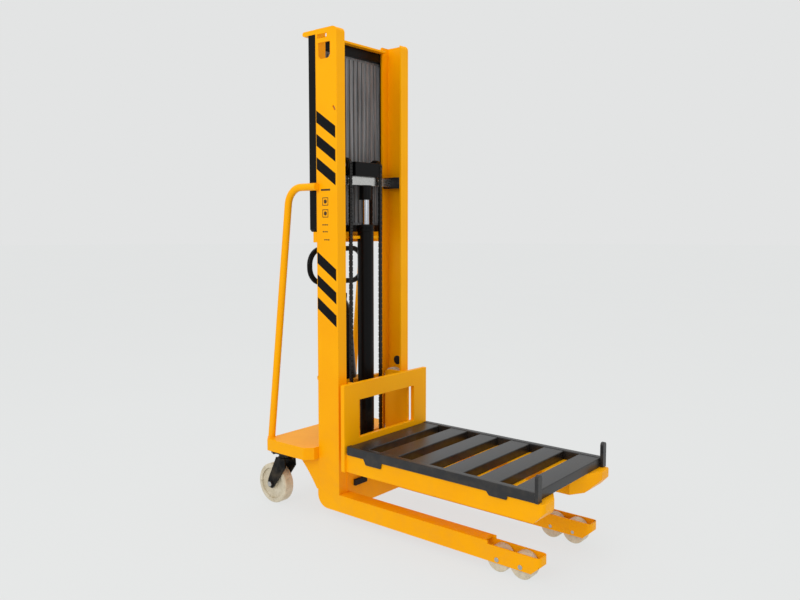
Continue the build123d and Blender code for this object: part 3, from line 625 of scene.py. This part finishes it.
CHANNEL_EDGE = box_mm("mast_top_beam")[1].y
PLATE_FRONT = box_mm("mast_base_beam")[1].x
PLATE_TOP = box_mm("mast_base_beam")[1].z
LEG_TOP = box_mm("leg_right")[1].z
BASE_LOW, BASE_HIGH = box_mm("base_box")
GUSSET_REAR = box_mm("base_gussets")[0].x
BRACKET_HALF = box_mm("chain_anchors")[1].y
BRACKET_TOP = ANCHOR_TOP - 25
bm = bmesh.new()
for side in (-1, 1):
    weld_run(bm, at(PLATE_FRONT, side * CHANNEL_EDGE, LEG_TOP + 3),
             at(PLATE_FRONT, side * CHANNEL_EDGE, PLATE_TOP - 4), PLATE_BEAD)
    weld_run(bm, at(GUSSET_REAR + 4, side * MAST_SIDE, BASE_LOW.z),
             at(-8, side * MAST_SIDE, BASE_LOW.z), BASE_BEAD)
    weld_run(bm, at(0, side * (MAST_SIDE - 2), BASE_HIGH.z),
             at(0, side * CHANNEL_EDGE, BASE_HIGH.z), BASE_BEAD)
    weld_ring(bm, at(BASE_LOW.x + 1, side * (BASE_HIGH.y - HANDLE_INSET), BASE_HIGH.z),
              HANDLE_RING_R, PLATE_BEAD)
weld_run(bm, at(0.5, -BRACKET_HALF + 4, BRACKET_TOP),
         at(0.5, BRACKET_HALF - 4, BRACKET_TOP), BRACKET_BEAD)
beads = finish_mesh("frame_weld_beads", bm, yellow_enamel, smooth_angle=80)
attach(beads, "chassis")

CARRIAGE_LOW, CARRIAGE_HIGH = box_mm("carriage_frame")
FORK_LOW, FORK_HIGH = box_mm("fork_left")
SIDE_PLATE_LOW, SIDE_PLATE_HIGH = box_mm("carriage_side_plate_left")
bm = bmesh.new()
for side in (-1, 1):
    weld_run(bm, at(CARRIAGE_HIGH.x, side * (FORK_LOW.y + 4), FORK_HIGH.z),
             at(CARRIAGE_HIGH.x, side * (FORK_HIGH.y - 4), FORK_HIGH.z), CARRIAGE_BEAD)
    weld_run(bm, at(CARRIAGE_HIGH.x, side * FORK_HIGH.y, FORK_LOW.z + 4),
             at(CARRIAGE_HIGH.x, side * FORK_HIGH.y, FORK_HIGH.z - 2), FORK_SIDE_BEAD)
    weld_run(bm, at(CARRIAGE_LOW.x, side * SIDE_PLATE_LOW.y, SIDE_PLATE_LOW.z + 8),
             at(CARRIAGE_LOW.x, side * SIDE_PLATE_LOW.y, SIDE_PLATE_HIGH.z - 8), CARRIAGE_BEAD)
beads = finish_mesh("carriage_weld_beads", bm, yellow_enamel, smooth_angle=80)
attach(beads, "carriage")

SLATS_LOW, SLATS_HIGH = box_mm("platform_slats")
SLAT_COUNT = 6
SLAT_WIDTH = 90.0
SLAT_PITCH = (SLATS_HIGH.x - SLATS_LOW.x - SLAT_WIDTH) / (SLAT_COUNT - 1)
bm = bmesh.new()
for i in range(SLAT_COUNT):
    x0 = SLATS_LOW.x + i * SLAT_PITCH
    for side in (-1, 1):
        y = side * (SLATS_HIGH.y + 0.6)
        z = SLATS_HIGH.z - 0.8
        weld_run(bm, at(x0 + 5, y, z), at(x0 + SLAT_WIDTH - 5, y, z), SLAT_BEAD)
beads = finish_mesh("platform_weld_beads", bm, charcoal_enamel, smooth_angle=80)
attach(beads, "carriage")


# ------------------------------------------------------------------ bolts
# Zinc-plated hex bolts on washers hold the guard screen to the mast and the pump head to
# its tank.
WASHER_THK = 0.0016


def hex_bolt(bm, place, outward, across, head):
    """A bolt head with a chamfered crown, on a washer, facing outward from its seat."""
    turn = outward.to_track_quat("Z", "Y").to_matrix().to_4x4()
    seat = Matrix.Translation(place) @ turn
    washer = across * 0.62 / 1000
    bmesh.ops.create_cone(bm, cap_ends=True, segments=24, radius1=washer, radius2=washer, depth=WASHER_THK,
                          matrix=seat @ Matrix.Translation((0, 0, WASHER_THK / 2)))
    corner = across / 2 / math.cos(math.pi / 6) / 1000
    body = head * 0.82 / 1000
    bmesh.ops.create_cone(bm, cap_ends=True, segments=6, radius1=corner, radius2=corner, depth=body,
                          matrix=seat @ Matrix.Translation((0, 0, WASHER_THK + body / 2)))
    crown = head * 0.18 / 1000
    crown_middle = Matrix.Translation((0, 0, WASHER_THK + body + crown / 2))
    bmesh.ops.create_cone(bm, cap_ends=True, segments=24, radius1=across / 2050,
                          radius2=across / 2500, depth=crown, matrix=seat @ crown_middle)


SCREEN_LOW, SCREEN_HIGH = box_mm("guard_screen_frame")
SCREEN_BOLT_ROWS = 4
SCREEN_BOLT_STEP = (SCREEN_HIGH.z - SCREEN_LOW.z - 130) / (SCREEN_BOLT_ROWS - 1)
PUMP_FOOT_THK = 22
bm = bmesh.new()
for side in (-1, 1):
    for k in range(SCREEN_BOLT_ROWS):
        z = SCREEN_LOW.z + 60 + k * SCREEN_BOLT_STEP
        hex_bolt(bm, at(SCREEN_LOW.x, side * (SCREEN_HIGH.y - 15), z), Vector((-1, 0, 0)), 13, 5.5)
HEAD_LOW, HEAD_HIGH = box_mm("pump_head")
PUMP_X = (HEAD_LOW.x + HEAD_HIGH.x) / 2
for dx in (-24, 24):
    for dy in (-26, 26):
        hex_bolt(bm, at(PUMP_X + dx, dy, HEAD_LOW.z + PUMP_FOOT_THK), Vector((0, 0, 1)), 10, 5)
bolts = finish_mesh("screen_and_pump_bolts", bm, zinc_steel)
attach(bolts, "chassis")


# ------------------------------------------------------------------ turned collars
# A screwed gland and a rubber wiper close the cylinder round the rod, a weld collar seats
# the barrel, and two rolled seams run round the pump's tank.
def turned(bm, profile, middle, axis=Vector((0, 0, 1)), segments=48):
    """Spins a closed outline of (radius, height) in millimetres round an axis."""
    turn = axis.to_track_quat("Z", "Y").to_matrix()
    ring = [bm.verts.new(middle + turn @ Vector((r / 1000, 0, h / 1000))) for r, h in profile]
    edges = [bm.edges.new((a, b)) for a, b in zip(ring, ring[1:] + ring[:1])]
    bmesh.ops.spin(bm, geom=edges, cent=middle, axis=turn @ Vector((0, 0, 1)), angle=2 * math.pi,
                   steps=segments, use_merge=True, use_duplicate=False)


BARREL_LOW, BARREL_HIGH = box_mm("cylinder_barrel")
BARREL_X = (BARREL_LOW.x + BARREL_HIGH.x) / 2
BARREL_R = (BARREL_HIGH.x - BARREL_LOW.x) / 2
bm = bmesh.new()
gland = [
    (BARREL_R - 2, -26), (BARREL_R + 2, -26), (BARREL_R + 3.5, -24), (BARREL_R + 3.5, -14),
    (BARREL_R + 2, -13), (BARREL_R + 2, -10), (BARREL_R + 3.5, -9), (BARREL_R + 3.5, 1),
    (BARREL_R + 1.5, 3), (27, 3), (27, 0.2), (BARREL_R - 2, 0.2),
]
turned(bm, gland, at(BARREL_X, 0, BARREL_HIGH.z))
foot = [(BARREL_R - 1, 0), (BARREL_R + 7, 0), (BARREL_R + 4, 5), (BARREL_R, 8), (BARREL_R - 1, 8)]
turned(bm, foot, at(BARREL_X, 0, BARREL_LOW.z))
TANK_LOW, TANK_HIGH = box_mm("pump_reservoir")
TANK_R = TANK_HIGH.y
LOWER_SEAM = (14.0, TANK_R - 1.0)
UPPER_SEAM = (TANK_HIGH.z - TANK_LOW.z - 72.0, TANK_R - 22.0)
for height, r in (LOWER_SEAM, UPPER_SEAM):
    seam = [(r - 2, -3), (r + 0.6, -3), (r + 2.2, -1.6), (r + 2.2, 1.6), (r + 0.6, 3), (r - 2, 3)]
    turned(bm, seam, at(PUMP_X, 0, TANK_LOW.z + height))
collars = finish_mesh("cylinder_and_tank_collars", bm, black_enamel)
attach(collars, "chassis")

ROD_R = 17.5
lip = [(ROD_R + 0.1, 0.2), (26.5, 0.2), (26.5, 2.2), (22, 4.4), (ROD_R + 1.2, 6.2), (ROD_R + 0.1, 6.2)]
bm = bmesh.new()
turned(bm, lip, at(BARREL_X, 0, BARREL_HIGH.z))
wiper = finish_mesh("rod_wiper", bm, black_rubber)
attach(wiper, "chassis")

# ------------------------------------------------------------------ hose ends
# Each end of the pump hose is a zinc hex nut with a sleeve crimped over the rubber.
HOSE_LOW, HOSE_HIGH = box_mm("hydraulic_hose")
HOSE_R = (HOSE_HIGH.y - HOSE_LOW.y) / 2
HOSE_Z = HOSE_LOW.z + HOSE_R
NUT_CORNER = 0.0135
NUT_LONG = 0.012
CRIMPS = 6
CRIMP_PITCH = 4
BARREL_END = (at(BARREL_LOW.x + 0.4, 0, HOSE_Z), Vector((-1, 0, 0)))
PUMP_END = (at(PUMP_X, 0, HOSE_HIGH.z), Vector((0, 0, -1)))
bm = bmesh.new()
for middle, outward in (BARREL_END, PUMP_END):
    turn = outward.to_track_quat("Z", "Y").to_matrix().to_4x4()
    bmesh.ops.create_cone(bm, cap_ends=True, segments=6, radius1=NUT_CORNER, radius2=NUT_CORNER,
                          depth=NUT_LONG,
                          matrix=Matrix.Translation(middle) @ turn @ Matrix.Translation((0, 0, NUT_LONG / 2)))
    sleeve = [(HOSE_R - 1, 11)]
    for k in range(CRIMPS):
        low = 12 + CRIMP_PITCH * k
        sleeve += [(HOSE_R + 2.6, low), (HOSE_R + 2.6, low + 2.4), (HOSE_R + 1.7, low + 3)]
    sleeve += [(HOSE_R + 0.2, 37), (HOSE_R - 1, 37)]
    turned(bm, sleeve, middle, outward, segments=24)
ends = finish_mesh("hose_ends", bm, zinc_steel)
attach(ends, "chassis")


# ------------------------------------------------------------------ bearings
# Sealed ball bearings pressed into the wheels and rollers: an outer steel ring, a dished
# seal and an inner ring, standing just proud of the nylon.
def bearing_faces(name, node, outer, inner, proud):
    low, high = box_mm(node)
    middle = (low + high) / 2
    half = (high.y - low.y) / 2
    bm = bmesh.new()
    for side in (-1, 1):
        spot = at(middle.x, middle.y + side * half, middle.z)
        ring = outer - 3.2
        hub = inner + 3.0
        profile = [(inner, -2), (outer, -2), (outer, proud - 0.3), (outer - 0.4, proud), (ring, proud),
                   (ring - 0.3, proud - 0.7), (hub + 0.3, proud - 0.4), (hub, proud), (inner, proud)]
        turned(bm, profile, spot, Vector((0, side, 0)), segments=32)
    rings = finish_mesh(name, bm, zinc_steel)
    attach(rings, nodes[node]["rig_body"])


for side in ("right", "left"):
    bearing_faces("caster_bearing_" + side, "caster_wheel_" + side, 20.0, 8.3, 1.2)
    for spot in ("rear", "front"):
        bearing_faces(f"load_bearing_{side}_{spot}", f"load_roller_{side}_{spot}", 19.0, 7.3, 0.8)
    for spot in ("upper", "lower"):
        bearing_faces(f"guide_bearing_{side}_{spot}", f"guide_roller_{side}_{spot}", 26.0, 12.3, 1.0)

# ------------------------------------------------------------------ painted shade in the channel hole
# A domed black rubber piece fills the hole low on the left-hand channel, standing in for the shade inside
# that hole.
WEB_IN = MAST_SIDE - 8.0
HOLE_X = 65.0
HOLE_Z = 627.0
dome = [(0.2, 7.6), (16.7, 7.6), (16.7, 0), (21, 0), (21, -1.5), (17, -4), (9, -5.6), (0.2, -6.2)]
bm = bmesh.new()
turned(bm, dome, at(HOLE_X, WEB_IN, HOLE_Z), Vector((0, 1, 0)))
hole_shade = finish_mesh("channel_hole_shade", bm, black_rubber)
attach(hole_shade, "chassis")
